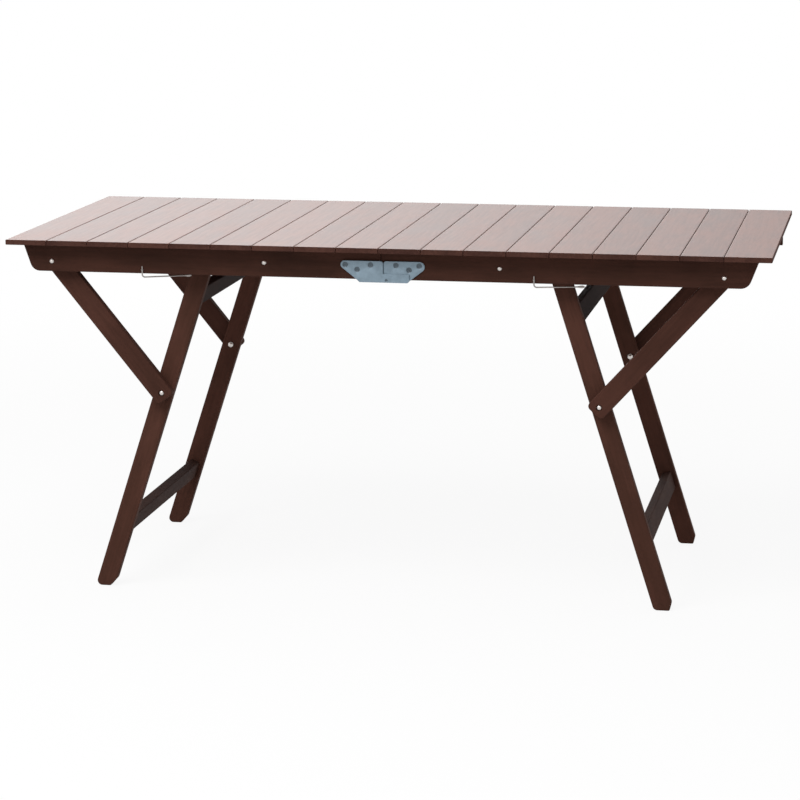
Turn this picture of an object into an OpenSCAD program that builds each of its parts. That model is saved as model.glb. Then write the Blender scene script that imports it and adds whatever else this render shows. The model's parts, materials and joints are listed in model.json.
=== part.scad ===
// Folding table: a slatted top in two halves that closes like a suitcase on two side hinges,
// with a braced leg frame under each half and wire catches that hold the legs.
// X runs along the table, Y across it and Z up. The origin is on the floor under the middle of the top.
// Most pieces are drawn in half coordinates: X is then the distance outward from the seam of the halves.

/* [Table top] */
// Overall length of the open top
table_l = 1500; // [1440:1:1600]
// Overall width of the top, which is the length of a slat
table_w = 730; // [560:1:900]
// Height of the top surface above the floor
table_h = 712; // [700:1:724]
// Thickness of a slat
slat_t = 10; // [8:0.5:14]
// Slats in each half
slats_per_half = 9; // [7:1:11]
// Gap between neighbouring slats
slat_gap = 1.2; // [0.8:0.1:4]
// Bevel along the upper long edges of a slat
slat_bevel = 1; // [0.4:0.1:2]
// How far the seam between the halves lies left of the middle
seam_offset = 4; // [0:0.5:8]

/* [Aprons and battens] */
// Height of an apron
apron_h = 55; // [50:0.5:60]
// Thickness of an apron
apron_t = 20; // [16:0.5:26]
// How far the top overhangs the outer face of an apron
side_overhang = 32; // [20:0.5:60]
// Distance from the left end of the top to the upper corners of its aprons
left_end_setback = 26; // [14:0.5:36]
// Distance from the right end of the top to the upper corners of its aprons
right_end_setback = 16; // [12:0.5:36]
// How much further in the lower corner of an apron is
end_rake = 19; // [6:0.5:26]
// Radius of the lower outer corner of an apron
apron_corner_r = 20; // [4:0.5:22]
// Thickness of the battens under the slats
batten_t = 14; // [10:0.5:15]
// Width of the batten that runs along the middle of the slats
centre_batten_w = 20; // [14:0.5:60]
// Width of the crosswise batten on which the leg tops bear
leg_rest_w = 36; // [28:0.5:60]

/* [Centre fold] */
// How far the hinge pins lie right of the middle
pin_offset = 7.5; // [3:0.5:9]
// How far the hinge pins lie below the aprons
pin_drop = 0.5; // [0.5:0.1:2]
// Gap between the aprons of the two halves at the seam
seam_gap = 0.3; // [0.2:0.1:1]
// Thickness of a hinge leaf
leaf_t = 2.5; // [2:0.1:4]
// Running gap between sliding hinge faces
leaf_gap = 0.2; // [0.1:0.05:0.4]
// Height of the upper edge of the leaves above the pin
leaf_top = 37.3; // [34:0.1:42]
// Distance from the pin to the tip of the left leaf, before it is rounded
left_leaf_reach = 105.6; // [102:0.1:118]
// Distance from the pin to the tip of the right leaf, before it is rounded
right_leaf_reach = 94.2; // [90:0.1:108]
// Slope of the lower edges of the leaves
leaf_slope = 38; // [34:0.5:42]
// Diameter of the hinge pin
pin_d = 5; // [4:0.1:6]
// Length of a hinge screw
screw_l = 16; // [12:0.5:18]
// Diameter of a hinge screw
screw_d = 4; // [3:0.1:5]
// Diameter of the countersunk head of a hinge screw
screw_head_d = 9.5; // [7:0.1:10]

/* [Leg frames] */
// Thickness of the legs, braces and stretchers
member_t = 20; // [16:0.5:24]
// Width of a leg
leg_w = 38; // [32:0.5:40]
// Width of a brace
brace_w = 40; // [34:0.5:40]
// How far the pivot of a brace on its apron is in from the end of the top, before the seam is offset
brace_setback = 88; // [80:1:110]
// Horizontal run of a left brace from its apron pivot to its leg pivot
left_brace_run = 213; // [200:0.5:230]
// Horizontal run of a right brace from its apron pivot to its leg pivot
right_brace_run = 237.5; // [215:0.5:245]
// Height above the floor of the pivot between brace and leg
leg_pivot_h = 404; // [390:1:420]
// Lean of a leg away from the vertical
leg_lean = 17.8; // [15:0.1:19]
// How far a brace reaches past the centre of a pivot
brace_end = 15; // [12:0.5:18]
// Slope of the upper end of a leg across its width
leg_top_slope = 42; // [38:0.5:46]
// Length of the bevel of a foot along its sole
foot_bevel_run = 9; // [4:0.5:12]
// Height of the bevel of a foot along the edge of the leg
foot_bevel_rise = 17; // [8:0.5:24]
// Radius of the other corner of a foot
foot_r = 10; // [4:0.5:12]
// Thickness of a stretcher
stretcher_t = 20; // [16:0.5:26]
// Width of a stretcher along the legs
stretcher_w = 37.5; // [30:0.5:60]
// Height of the left lower stretcher above the floor
left_lower_stretcher_h = 124; // [80:1:250]
// Height of the right lower stretcher above the floor
right_lower_stretcher_h = 137; // [80:1:250]
// Distance of the left upper stretcher below the top surface
left_upper_stretcher_drop = 118; // [114:1:200]
// Distance of the right upper stretcher below the top surface
right_upper_stretcher_drop = 138; // [114:1:200]
// Depth of a stretcher tenon in its leg
tenon_l = 10; // [6:0.5:14]

/* [Bolts] */
// Diameter of the pivot bolts
bolt_d = 8; // [6:0.1:9]
// Diameter of the domed bolt heads
head_d = 11; // [9:0.1:13]
// Height of the domed bolt heads
head_h = 3; // [2:0.1:4]
// Thickness of the washers between members
washer_t = 1; // [0.6:0.1:2]
// Distance from the seam to the bolts of the guide blocks
guide_bolt = 232; // [180:1:250]
// Width of a guide block
guide_w = 40; // [30:0.5:50]

/* [Wire catches] */
// Diameter of the catch wire
wire_d = 3; // [2.4:0.1:4]
// Length of the swinging arm of a catch
catch_reach = 98; // [90:1:110]
// How far the catches outside their legs are in from the end of the top, before the seam is offset
outer_catch_setback = 273; // [260:1:280]
// How far the catches inside their legs are in from the end of the top, before the seam is offset
inner_catch_setback = 451; // [440:1:465]
// How far the arm hangs below the aprons
catch_drop = 7; // [5:0.5:9]
// Length of the upright of a catch above the lower edge of the apron
catch_upright = 15; // [12:0.5:24]
// Angle by which the inner catches point in from the apron
inner_catch_angle = 14; // [10:0.5:16]

/* [Hidden] */
$fn = 48;
LEFT = -1;
RIGHT = 1;
WAYS = [LEFT, RIGHT];
FRONT = 0;
BACK = 1;
play = 0.05;
seat_gap = 0.3;
head_play = 0.3;
arc_steps = 8;
bolt_bore = bolt_d + 2 * play;
flush_gap = 0.2;
nut_d = 14;
nut_h = 5;
washer_d = 18;
guide_grip = 14;
brace_corner_r = 9;

dark_wood = "#4a2b25";
top_wood = "#9c7a70";
plated_steel = "#9fb2bd";
bolt_steel = "#d6d2cf";

// Heights
slat_z = table_h - slat_t;
apron_z = slat_z - apron_h;
pin_z = apron_z - pin_drop;
batten_z = slat_z - batten_t;
fold_gap = 0.5;
brace_pivot_z = pin_z + fold_gap + brace_w / 2;

// Distances from the middle plane of the table to the inner face of each layer
apron_out = table_w / 2 - side_overhang;
apron_in = apron_out - apron_t;
brace_out = apron_in - washer_t;
brace_in = brace_out - member_t;
leg_out = brace_in - washer_t;
leg_in = leg_out - member_t;

// Halves and slats
function half_l(side) = table_l / 2 + side * seam_offset;
function apron_l(side) = half_l(side) - (side == LEFT ? left_end_setback : right_end_setback);
slat_pitch = half_l(LEFT) / slats_per_half;

// Braces and legs, in half coordinates
brace_pivot = table_l / 2 - brace_setback;
brace_drop = brace_pivot_z - leg_pivot_h;
function brace_run(side) = side == LEFT ? left_brace_run : right_brace_run;
function leg_pivot(side) = brace_pivot - brace_run(side);
function brace_l(side) = norm([brace_run(side), brace_drop]);
function brace_angle(side) = atan2(brace_drop, brace_run(side));

// Leg outline, with X across the leg toward its outer side and Y up the leg from the pivot
foot_y = -leg_pivot_h / cos(leg_lean);
sole_rise = leg_w / 2 * tan(leg_lean);
bevel_x = leg_w / 2 - foot_bevel_run * cos(leg_lean);
bevel_y = foot_bevel_run * sin(leg_lean);
tip_r = 6;
tip_x = tip_r - leg_w / 2;
tip_y = (batten_z - seat_gap - tip_r - leg_pivot_h - tip_x * sin(leg_lean)) / cos(leg_lean);
tip_corner_y = tip_y + tip_r * (1 + sin(leg_top_slope)) / cos(leg_top_slope);
tip_out = tip_x * cos(leg_lean) - tip_y * sin(leg_lean);
rest_nose = 10;
rest_bevel = rest_nose - 1;
function rest_from(side) = leg_pivot(side) + tip_out - rest_nose;

// Guide blocks fill the layer of the braces
guide_h = apron_h - 10;
guide_z = apron_z + apron_h / 2;

// Hinge, measured from its pin
leaf_seam = 6.3;
leaf_side_gap = 0.25;
cover_seam = -leaf_seam - leaf_side_gap;
cover_in = apron_out + leaf_t + leaf_gap;
cover_out = cover_in + leaf_t;
leaf_bottom = 4.6;
leaf_toe_z = -0.6;
toe_run = 4;
eye_r = 4.3;
tongue_top = 12.4;
tongue_rake = 0.6;
pin_head_d = 8.4;
head_sink = 0.6;
head_cone = 1.6;
left_screws = [[-80.9, 29.3], [-57.5, 20.2], [-31, 29.6]];
right_screws = [[18.4, 29.4], [44.4, 20.6], [64.2, 29.4]];
function slope_x(reach, z) = reach - (leaf_top - z) / tan(leaf_slope);

// Catches
wire_y = apron_out + 0.4 + wire_d / 2;
arm_z = apron_z - catch_drop;
catch_top_z = apron_z + catch_upright;
outer_catch_angle = asin((wire_y - leg_out - seat_gap - wire_d / 2) / catch_reach);
staple_d = 1.6;
staple_grip = 6;
paddle_l = 12;
paddle_h = 5;
paddle_t = 1.8;
staple_r = wire_d / 2 + 0.1 + staple_d / 2;
staple_z = apron_z + catch_upright / 2;

SIDES = ["left", "right"];
PLACES = ["front", "back"];

// Points of an outline whose corners [x, y, radius] are rounded
function rounded(corners) = [
    for (i = [0 : len(corners) - 1])
        each corner_arc(corners[(i + len(corners) - 1) % len(corners)], corners[i],
                        corners[(i + 1) % len(corners)])
];
function flat2(v) = [v.x, v.y];
function unit(v) = v / norm(v);
function corner_arc(before, at, after) =
    let (p = flat2(at), a = unit(flat2(before) - p), b = unit(flat2(after) - p),
         half = acos(a * b) / 2, centre = p + unit(a + b) * at[2] / sin(half),
         start = p + a * at[2] / tan(half) - centre, end = p + b * at[2] / tan(half) - centre,
         from = atan2(start.y, start.x), turn = atan2(cross(start, end), start * end))
    at[2] == 0 ? [p]
               : [for (i = [0 : arc_steps])
                      centre + at[2] * [cos(from + turn * i / arc_steps), sin(from + turn * i / arc_steps)]];

// Puts half coordinates on the left or right half
module half(side) translate([-seam_offset, 0, 0]) mirror([side == LEFT ? 1 : 0, 0, 0]) children();

// Front pieces are drawn at negative Y and mirrored for the back
module row(place) mirror([0, place, 0]) children();

// Extrudes an XZ outline between two distances from the middle plane, on the front side
module layer(y_in, y_out)
    translate([0, -y_in, 0]) rotate([90, 0, 0]) linear_extrude(y_out - y_in) children();

module rod_y(d, y_in, y_out) translate([0, -y_in, 0]) rotate([90, 0, 0]) cylinder(h = y_out - y_in, d = d);

// Domed disc on the plane at distance y, bulging away from the middle plane, or toward it when h_way is -1
module dome_y(d, h, y, h_way = 1) {
    ball_r = (d * d / 4 + h * h) / (2 * h);
    translate([0, -y, 0]) rotate([90 * h_way, 0, 0])
        rotate_extrude() intersection() {
            translate([0, h - ball_r]) circle(r = ball_r, $fn = 96);
            square([d / 2, h]);
        }
}

module washer_y(d, bore, y_in, y_out) difference() {
    rod_y(d, y_in, y_out);
    rod_y(bore, y_in - 1, y_out + 1);
}

module slat(side, index) {
    from = index * slat_pitch + slat_gap / 2;
    to = index == slats_per_half - 1 ? half_l(side) : (index + 1) * slat_pitch - slat_gap / 2;
    color(top_wood) half(side) layer(-table_w / 2, table_w / 2)
        polygon([[from, slat_z], [to, slat_z], [to, table_h - slat_bevel], [to - slat_bevel, table_h],
                 [from + slat_bevel, table_h], [from, table_h - slat_bevel]]);
}

// Screw places of a hinge leaf, in half coordinates
function leaf_screws(side) = [for (p = side == LEFT ? left_screws : right_screws)
    [side * (p.x + pin_offset + seam_offset), pin_z + p.y]];

// Distance of a catch from the seam: outer on the left front and right back, inner on the other two
function is_outer(side, place) = (side == LEFT) == (place == FRONT);
function catch_setback(side, place) = is_outer(side, place) ? outer_catch_setback : inner_catch_setback;
function catch_x(side, place) = table_l / 2 - catch_setback(side, place);

module apron(side, place) color(dark_wood) half(side) row(place) difference() {
    layer(apron_in, apron_out) polygon(rounded([
        [seam_gap / 2, apron_z, 0], [apron_l(side) - end_rake, apron_z, apron_corner_r],
        [apron_l(side), slat_z, 0], [seam_gap / 2, slat_z, 0]]));
    for (at = [[brace_pivot, brace_pivot_z], [guide_bolt, guide_z]])
        translate([at.x, 0, at.y]) rod_y(bolt_bore, apron_in - 1, apron_out + 1);
    for (at = leaf_screws(side)) translate([at.x, 0, at.y])
        rod_y(screw_d, apron_out - screw_l, apron_out + 1);
    for (way = [-1, 1]) translate([catch_x(side, place) + way * staple_r, 0, staple_z])
        rod_y(staple_d, apron_out - staple_grip, apron_out + 1);
}

module leg_rest(side) color(dark_wood) half(side) for (place = [FRONT, BACK])
    row(place) layer(centre_batten_w / 2, apron_in)
        polygon([[rest_from(side), slat_z], [rest_from(side), batten_z + rest_bevel],
                 [rest_from(side) + rest_bevel, batten_z], [rest_from(side) + leg_rest_w, batten_z],
                 [rest_from(side) + leg_rest_w, slat_z]]);

module centre_batten(side) color(dark_wood) half(side)
    translate([slat_gap / 2, -centre_batten_w / 2, batten_z])
        cube([half_l(side) - slat_gap / 2, centre_batten_w, batten_t]);

// Blocks that keep the folded legs off the aprons
module guide_blocks(side) color(dark_wood) half(side) for (place = [FRONT, BACK]) row(place) difference() {
    layer(brace_in + washer_t, apron_in) polygon(rounded([
        [guide_bolt - guide_w / 2, slat_z - guide_h, 6], [guide_bolt + guide_w / 2, slat_z - guide_h, 6],
        [guide_bolt + guide_w / 2, slat_z, 0], [guide_bolt - guide_w / 2, slat_z, 0]]));
    translate([guide_bolt, 0, guide_z]) rod_y(bolt_bore, apron_in - guide_grip, apron_in + 1);
}

// Shank with a countersunk head that lies a little deeper than the plane at distance y_out
module countersunk_y(shank, head, y_in, y_out, wider = 0) {
    rod_y(shank + wider, y_in, y_out - head_sink);
    translate([0, head_sink + head_cone - y_out, 0]) rotate([90, 0, 0])
        cylinder(h = head_cone, d1 = shank + wider, d2 = head + wider);
}

// The hole for such a shank and head
module countersink_y(shank, head, y_in, y_out) {
    countersunk_y(shank, head, y_in, y_out, 2 * play);
    rod_y(head + 2 * play, y_out - head_sink, y_out + 1);
}

module screw_hole_y(y_out) countersink_y(screw_d, screw_head_d, y_out - screw_l, y_out);

module at_pin() translate([pin_offset, 0, pin_z]) children();

function leaf_inner_corners(reach, way, side_gap, tip) = [
    [side_gap, leaf_top, 5], [way * reach, leaf_top, tip],
    [way * slope_x(reach, fold_gap / 2), fold_gap / 2, 1], [side_gap, fold_gap / 2, 0]];

// The left leaf is a packing against the apron with a cover plate that carries the pin in its tongue
module left_hinge_leaf(place) color(plated_steel) row(place) at_pin() difference() {
    union() {
        layer(apron_out, cover_in) polygon(rounded(leaf_inner_corners(left_leaf_reach, -1, cover_seam, 8)));
        layer(cover_in, cover_out) polygon(rounded([
            [cover_seam, leaf_top, 5], [-left_leaf_reach, leaf_top, 8],
            [-slope_x(left_leaf_reach, leaf_toe_z), leaf_toe_z, 2],
            [toe_run - slope_x(left_leaf_reach, leaf_toe_z), -leaf_bottom, 2],
            [slope_x(right_leaf_reach, leaf_toe_z) - toe_run, -leaf_bottom, 2],
            [slope_x(right_leaf_reach, leaf_toe_z), leaf_toe_z, 2],
            [slope_x(right_leaf_reach, leaf_toe_z) - tongue_rake, tongue_top, 1],
            [cover_seam, tongue_top, 0]]));
    }
    countersink_y(pin_d, pin_head_d, cover_in - 1, cover_out);
    for (at = left_screws) translate([at.x, 0, at.y]) screw_hole_y(cover_out);
}

// The right leaf turns between the apron and the tongue, on its round eye
module right_hinge_leaf(place) color(plated_steel) row(place) at_pin() difference() {
    union() {
        layer(apron_out, apron_out + leaf_t)
            polygon(rounded(leaf_inner_corners(right_leaf_reach, 1, leaf_side_gap - leaf_seam, 10)));
        rod_y(2 * eye_r, apron_out, apron_out + leaf_t);
    }
    rod_y(pin_d + 2 * play, apron_out - 1, cover_in);
    for (at = right_screws) translate([at.x, 0, at.y]) screw_hole_y(apron_out + leaf_t);
}

module hinge_pins() color(bolt_steel) for (place = [FRONT, BACK]) row(place) at_pin()
    countersunk_y(pin_d, pin_head_d, apron_out + leaf_gap, cover_out);

module hinge_screws(side) color(bolt_steel) half(side) for (place = [FRONT, BACK]) row(place)
    for (at = leaf_screws(side)) translate([at.x, 0, at.y]) {
        y_out = side == LEFT ? cover_out : apron_out + leaf_t;
        countersunk_y(screw_d, screw_head_d, y_out - screw_l, y_out);
    }

// Pivot bolts of the braces, with their washers, and the bolts of the guide blocks
module apron_bolts(side) color(bolt_steel) half(side) for (place = [FRONT, BACK]) row(place) {
    translate([brace_pivot, 0, brace_pivot_z]) {
        dome_y(head_d, head_h, apron_out);
        rod_y(bolt_d, brace_in + flush_gap, apron_out);
        rod_y(nut_d, brace_in + flush_gap, brace_in + flush_gap + nut_h);
        washer_y(washer_d, bolt_bore, brace_out + play, apron_in);
    }
    translate([guide_bolt, 0, guide_z]) {
        dome_y(head_d, head_h, apron_out);
        rod_y(bolt_d, apron_in - guide_grip, apron_out);
    }
}

module on_brace(side)
    translate([leg_pivot(side), 0, leg_pivot_h]) rotate([0, -brace_angle(side), 0]) children();

module brace(side, place) color(dark_wood) half(side) row(place) on_brace(side) difference() {
    layer(brace_in, brace_out) polygon(rounded([
        for (at = [[0, -1], [1, -1], [1, 1], [0, 1]])
            [at.x * (brace_l(side) + 2 * brace_end) - brace_end, at.y * brace_w / 2, brace_corner_r]]));
    for (x = [0, brace_l(side)]) translate([x, 0, 0]) rod_y(bolt_bore, brace_in - 1, brace_out + 1);
    rod_y(head_d + 2 * head_play, brace_out - head_h - flush_gap, brace_out + 1);
    translate([brace_l(side), 0, 0])
        rod_y(nut_d + 2 * head_play, brace_in - 1, brace_in + 2 * flush_gap + nut_h);
}

// Bolts through brace and leg, with a sunk head, a washer and a domed nut inside the leg
module leg_bolts(side) color(bolt_steel) half(side) for (place = [FRONT, BACK]) row(place)
    translate([leg_pivot(side), 0, leg_pivot_h]) {
        dome_y(head_d, head_h, brace_out - head_h - flush_gap);
        rod_y(bolt_d, leg_in - flush_gap, brace_out - head_h - flush_gap);
        dome_y(nut_d, nut_h, leg_in - flush_gap, -1);
        washer_y(washer_d, bolt_bore, leg_out + play, brace_in);
    }

module on_leg(side) translate([leg_pivot(side), 0, leg_pivot_h]) rotate([0, -leg_lean, 0]) children();

function leg_y(height) = (height - leg_pivot_h) / cos(leg_lean);
function lower_h(side) = side == LEFT ? left_lower_stretcher_h : right_lower_stretcher_h;
function upper_h(side) = table_h - (side == LEFT ? left_upper_stretcher_drop : right_upper_stretcher_drop);

// Corners of a foot from the inner to the outer edge of the leg. The bevel faces the table's right end.
function foot(side) = side == LEFT
    ? [[-leg_w / 2, foot_y + sole_rise + foot_bevel_rise, 3], [-bevel_x, foot_y + sole_rise - bevel_y, 3],
       [leg_w / 2, foot_y - sole_rise, foot_r]]
    : [[-leg_w / 2, foot_y + sole_rise, foot_r], [bevel_x, foot_y - sole_rise + bevel_y, 3],
       [leg_w / 2, foot_y - sole_rise + foot_bevel_rise, 3]];

module tenons(height) translate([0, 0, leg_y(height)])
    cube([stretcher_t - 8, 2 * (leg_in + tenon_l), stretcher_w - 10], center = true);

module leg(side, place) color(dark_wood) half(side) row(place) on_leg(side) difference() {
    layer(leg_in, leg_out) polygon(rounded([
        [leg_w / 2, tip_corner_y - leg_w * tan(leg_top_slope), 8], [-leg_w / 2, tip_corner_y, tip_r],
        each foot(side)]));
    rod_y(bolt_bore, leg_in - 1, leg_out + 1);
    for (height = [lower_h(side), upper_h(side)]) tenons(height);
}

module stretcher(side, height) color(dark_wood) half(side) on_leg(side) {
    translate([0, 0, leg_y(height)]) cube([stretcher_t, 2 * leg_in, stretcher_w], center = true);
    tenons(height);
}

// Wire bent to an L: an upright on the face of the apron and an arm that swings under the apron to the leg
module catch(side, place) color(bolt_steel) half(side) row(place) {
    outer = is_outer(side, place);
    translate([catch_x(side, place), -wire_y, arm_z]) {
        cylinder(h = catch_top_z - arm_z, d = wire_d);
        sphere(d = wire_d);
        rotate([0, 0, outer ? 180 - outer_catch_angle : inner_catch_angle]) {
            rotate([0, 90, 0]) cylinder(h = catch_reach - paddle_l / 2, d = wire_d);
            layer(-paddle_t / 2, paddle_t / 2) polygon(rounded([
                for (corner = [[-1, -1], [0, -1], [0, 1], [-1, 1]])
                    [catch_reach + corner.x * paddle_l, corner.y * paddle_h / 2, paddle_h / 2 - 0.1]]));
        }
    }
}

module catch_staples(side) color(bolt_steel) half(side) for (place = [FRONT, BACK]) row(place)
    translate([catch_x(side, place), 0, staple_z]) {
        translate([0, -wire_y, 0]) rotate([0, 0, 180])
            rotate_extrude(angle = 180) translate([staple_r, 0]) circle(d = staple_d, $fn = 24);
        for (way = [-1, 1])
            translate([way * staple_r, 0, 0]) rod_y(staple_d, apron_out - staple_grip, wire_y);
    }

for (s = [0, 1], i = [0 : slats_per_half - 1])
    slat(WAYS[s], i);
for (s = [0, 1]) {
    side = WAYS[s];
    leg_rest(side);
    centre_batten(side);
    guide_blocks(side);
    hinge_screws(side);
    apron_bolts(side);
    leg_bolts(side);
    stretcher(side, upper_h(side));
    stretcher(side, lower_h(side));
    catch_staples(side);
}
for (s = [0, 1], p = [FRONT, BACK]) {
    side = WAYS[s];
    apron(side, p);
    brace(side, p);
    leg(side, p);
    catch(side, p);
}
for (p = [FRONT, BACK]) {
    left_hinge_leaf(p);
    right_hinge_leaf(p);
}
hinge_pins();
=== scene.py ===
import json
import math

import bmesh
import bpy
import numpy as np
from mathutils import Matrix, Vector
from mathutils.geometry import convex_hull_2d, delaunay_2d_cdt


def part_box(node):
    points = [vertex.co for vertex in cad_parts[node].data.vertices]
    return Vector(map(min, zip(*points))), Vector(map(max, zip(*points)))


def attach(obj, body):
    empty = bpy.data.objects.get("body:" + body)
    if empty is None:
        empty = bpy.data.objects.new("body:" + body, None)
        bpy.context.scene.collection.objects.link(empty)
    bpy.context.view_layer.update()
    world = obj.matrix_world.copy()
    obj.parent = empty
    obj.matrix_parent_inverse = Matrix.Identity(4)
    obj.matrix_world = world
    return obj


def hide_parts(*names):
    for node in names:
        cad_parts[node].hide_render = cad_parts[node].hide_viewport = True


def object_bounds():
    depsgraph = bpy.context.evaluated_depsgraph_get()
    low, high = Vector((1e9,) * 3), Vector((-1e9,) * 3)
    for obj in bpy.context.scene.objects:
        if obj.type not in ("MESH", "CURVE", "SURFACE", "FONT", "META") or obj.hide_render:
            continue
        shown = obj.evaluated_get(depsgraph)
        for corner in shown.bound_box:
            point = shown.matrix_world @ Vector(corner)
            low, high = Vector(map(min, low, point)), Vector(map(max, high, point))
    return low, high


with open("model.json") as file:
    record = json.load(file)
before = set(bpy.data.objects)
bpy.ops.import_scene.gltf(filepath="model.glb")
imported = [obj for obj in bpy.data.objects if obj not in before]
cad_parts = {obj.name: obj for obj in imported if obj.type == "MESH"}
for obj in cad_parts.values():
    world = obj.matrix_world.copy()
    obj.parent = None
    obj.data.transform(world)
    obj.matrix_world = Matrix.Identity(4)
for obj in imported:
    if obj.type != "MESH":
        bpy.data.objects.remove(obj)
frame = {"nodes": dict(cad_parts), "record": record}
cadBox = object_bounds()
halves = {"left": -1, "right": 1}                 # which way each half runs from the seam
rows = {"front": -1, "back": 1}                   # front pieces lie at negative Y
joints = {joint["name"]: joint["pos_m"] for joint in frame["record"]["behaviour"]["joints"]}
print("frame loaded:", len(frame["nodes"]), "nodes")


camera = {
    "place": (1.03456, -5.76343, 1.47276),
    "azimuth": 10.4466,                           # degrees turned left of straight ahead
    "tilt": 10.8831,                              # degrees looking down
    "roll": -.0731,
    "lens": 129.815,                              # mm, as is the sensor
    "sensor": 36.0,
}
studio = {
    "around": .72,                                # light from all around
    "behind": 1.0,                                # how bright the room is behind the table
    "before": .55,                                # and on the camera's side
    "turnover": (-.6, .5),                        # one passes into the other as the direction's Y does this
    "floorSize": 30.0,                            # metres from its middle to its edges
    "floorShade": .8,
    "floorGlow": (.90, 1.0),                      # share of the floor that stays plain white, near and far
    "floorReach": (1.0, 4.0),                     # near and far, in metres from the table's middle
}
lamps = {
    "keyLamp": {"place": (-1.2, -2.5, 3.8), "aim": (0, 0, .5), "size": (3.2, 2.6), "spread": 180,
                "power": 150.0},
    "backLamp": {"place": (-.9, 4.6, 1.35), "aim": (.524, -.008, .742), "size": (5.2, 2.2), "spread": 34,
                 "power": 1.9},                   # its light falls off toward the table's right end
}


# The camera is turned about Z, then down about its own X, then rolled about its own line of sight.
def makeCamera():
    view = bpy.data.cameras.new("camera")
    view.lens, view.sensor_width = camera["lens"], camera["sensor"]
    rig = bpy.data.objects.new("camera", view)
    pose = Matrix.Translation(camera["place"])
    for angle, axis in ((camera["azimuth"], "Z"), (90 - camera["tilt"], "X"), (camera["roll"], "Z")):
        pose = pose @ Matrix.Rotation(math.radians(angle), 4, axis)
    rig.matrix_world = pose
    bpy.context.scene.collection.objects.link(rig)
    bpy.context.scene.camera = rig


# An area lamp faces its aim: it leans from straight down by the arccosine of its drop over the distance, and
# is then turned about Z by the aim's bearing.
def makeLamps():
    for name, lamp in lamps.items():
        light = bpy.data.lights.new(name, "AREA")
        light.shape, (light.size, light.size_y) = "RECTANGLE", lamp["size"]
        light.energy, light.spread = lamp["power"], math.radians(lamp["spread"])
        rig = bpy.data.objects.new(name, light)
        rig.location = lamp["place"]
        toward = np.subtract(lamp["aim"], lamp["place"])
        rig.rotation_euler = (math.acos(-toward[2] / np.linalg.norm(toward)), 0,
                              math.atan2(toward[1], toward[0]) - math.pi / 2)
        rig.visible_camera = False
        bpy.context.scene.collection.objects.link(rig)


def feed(tree, slot, value):                      # a link where the value is a Link, else a number or colour
    if isinstance(value, Link):
        tree.links.new(value.socket, slot)
    else:
        slot.default_value = value


class Link:                                       # an output socket; +, - and * add Math nodes
    def __init__(self, tree, socket):
        self.tree, self.socket = tree, socket

    def math(self, operation, first, second):
        node = self.tree.nodes.new("ShaderNodeMath")
        node.operation = operation
        feed(self.tree, node.inputs[0], first)
        feed(self.tree, node.inputs[1], second)
        return Link(self.tree, node.outputs[0])

    def __add__(self, other):
        return self.math("ADD", self, other)

    def __radd__(self, other):
        return self.math("ADD", other, self)

    def __sub__(self, other):
        return self.math("SUBTRACT", self, other)

    def __rsub__(self, other):
        return self.math("SUBTRACT", other, self)

    def __mul__(self, other):
        return self.math("MULTIPLY", self, other)

    def __rmul__(self, other):
        return self.math("MULTIPLY", other, self)


class Shader:                                     # a node tree that is written as expressions
    def __init__(self, owner):
        owner.use_nodes = True
        self.tree = owner.node_tree
        self.tree.nodes.clear()

    # Adds a node with these settings and inputs, and gives its output.
    def add(self, kind, settings=None, sockets=None, output=0):
        node = self.tree.nodes.new("ShaderNode" + kind)
        for key, value in (settings or {}).items():
            setattr(node, key, value)
        for key, value in (sockets or {}).items():
            feed(self.tree, node.inputs[key], value)
        return Link(self.tree, node.outputs[output])

    # A smooth step from bottom at low to top at high.
    def ramp(self, value, low, high, bottom=0.0, top=1.0):
        return self.add("MapRange", {"interpolation_type": "SMOOTHSTEP"},
                        {"Value": value, "From Min": low, "From Max": high, "To Min": bottom, "To Max": top})

    # Two colours, mixed by share.
    def blend(self, share, first, second, how="MIX"):
        return self.add("Mix", {"data_type": "RGBA", "blend_type": how},
                        {0: share, 6: first, 7: second}, 2)

    # Noise of this scale, detail, roughness and distortion.
    def noise(self, where, scale, detail=2.0, rough=.5, warp=0.0):
        return self.add("TexNoise", {}, {"Vector": where, "Scale": scale, "Detail": detail,
                                         "Roughness": rough, "Distortion": warp})

    # The place, with each of its axes scaled.
    def stretched(self, where, scale):
        return self.add("Mapping", {}, {"Vector": where, "Scale": scale})

    # 1 for rays from the camera, or by way of a reflection or glass, and 0 for the others.
    def seen(self):
        path = self.tree.nodes.new("ShaderNodeLightPath")
        kinds = [Link(self.tree, path.outputs[name])
                 for name in ("Is Camera Ray", "Is Glossy Ray", "Is Transmission Ray")]
        return kinds[0].math("MAXIMUM", kinds[0], kinds[0].math("MAXIMUM", kinds[1], kinds[2]))

    # The link goes to the tree's output.
    def finish(self, link, output="Material"):
        self.tree.links.new(link.socket, self.tree.nodes.new("ShaderNodeOutput" + output).inputs[0])


# The room's light rises by a smooth step from the camera's side to the far side. What is seen of it is white.
def makeWorld():
    world = bpy.data.worlds.new("studio")
    bpy.context.scene.world = world
    shader = Shader(world)
    way = shader.add("SeparateXYZ", {}, {0: shader.add("TexCoord")}, 1)  # -1 before the table, 1 behind
    light = shader.ramp(way, *studio["turnover"], studio["before"], studio["behind"]) * studio["around"]
    around = shader.add("Background", {}, {"Color": (1, 1, 1, 1), "Strength": light})
    plain = shader.add("Background", {}, {"Color": (1, 1, 1, 1), "Strength": 1.0})
    shader.finish(shader.add("MixShader", {}, {0: shader.seen(), 1: around, 2: plain}), "World")


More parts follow.
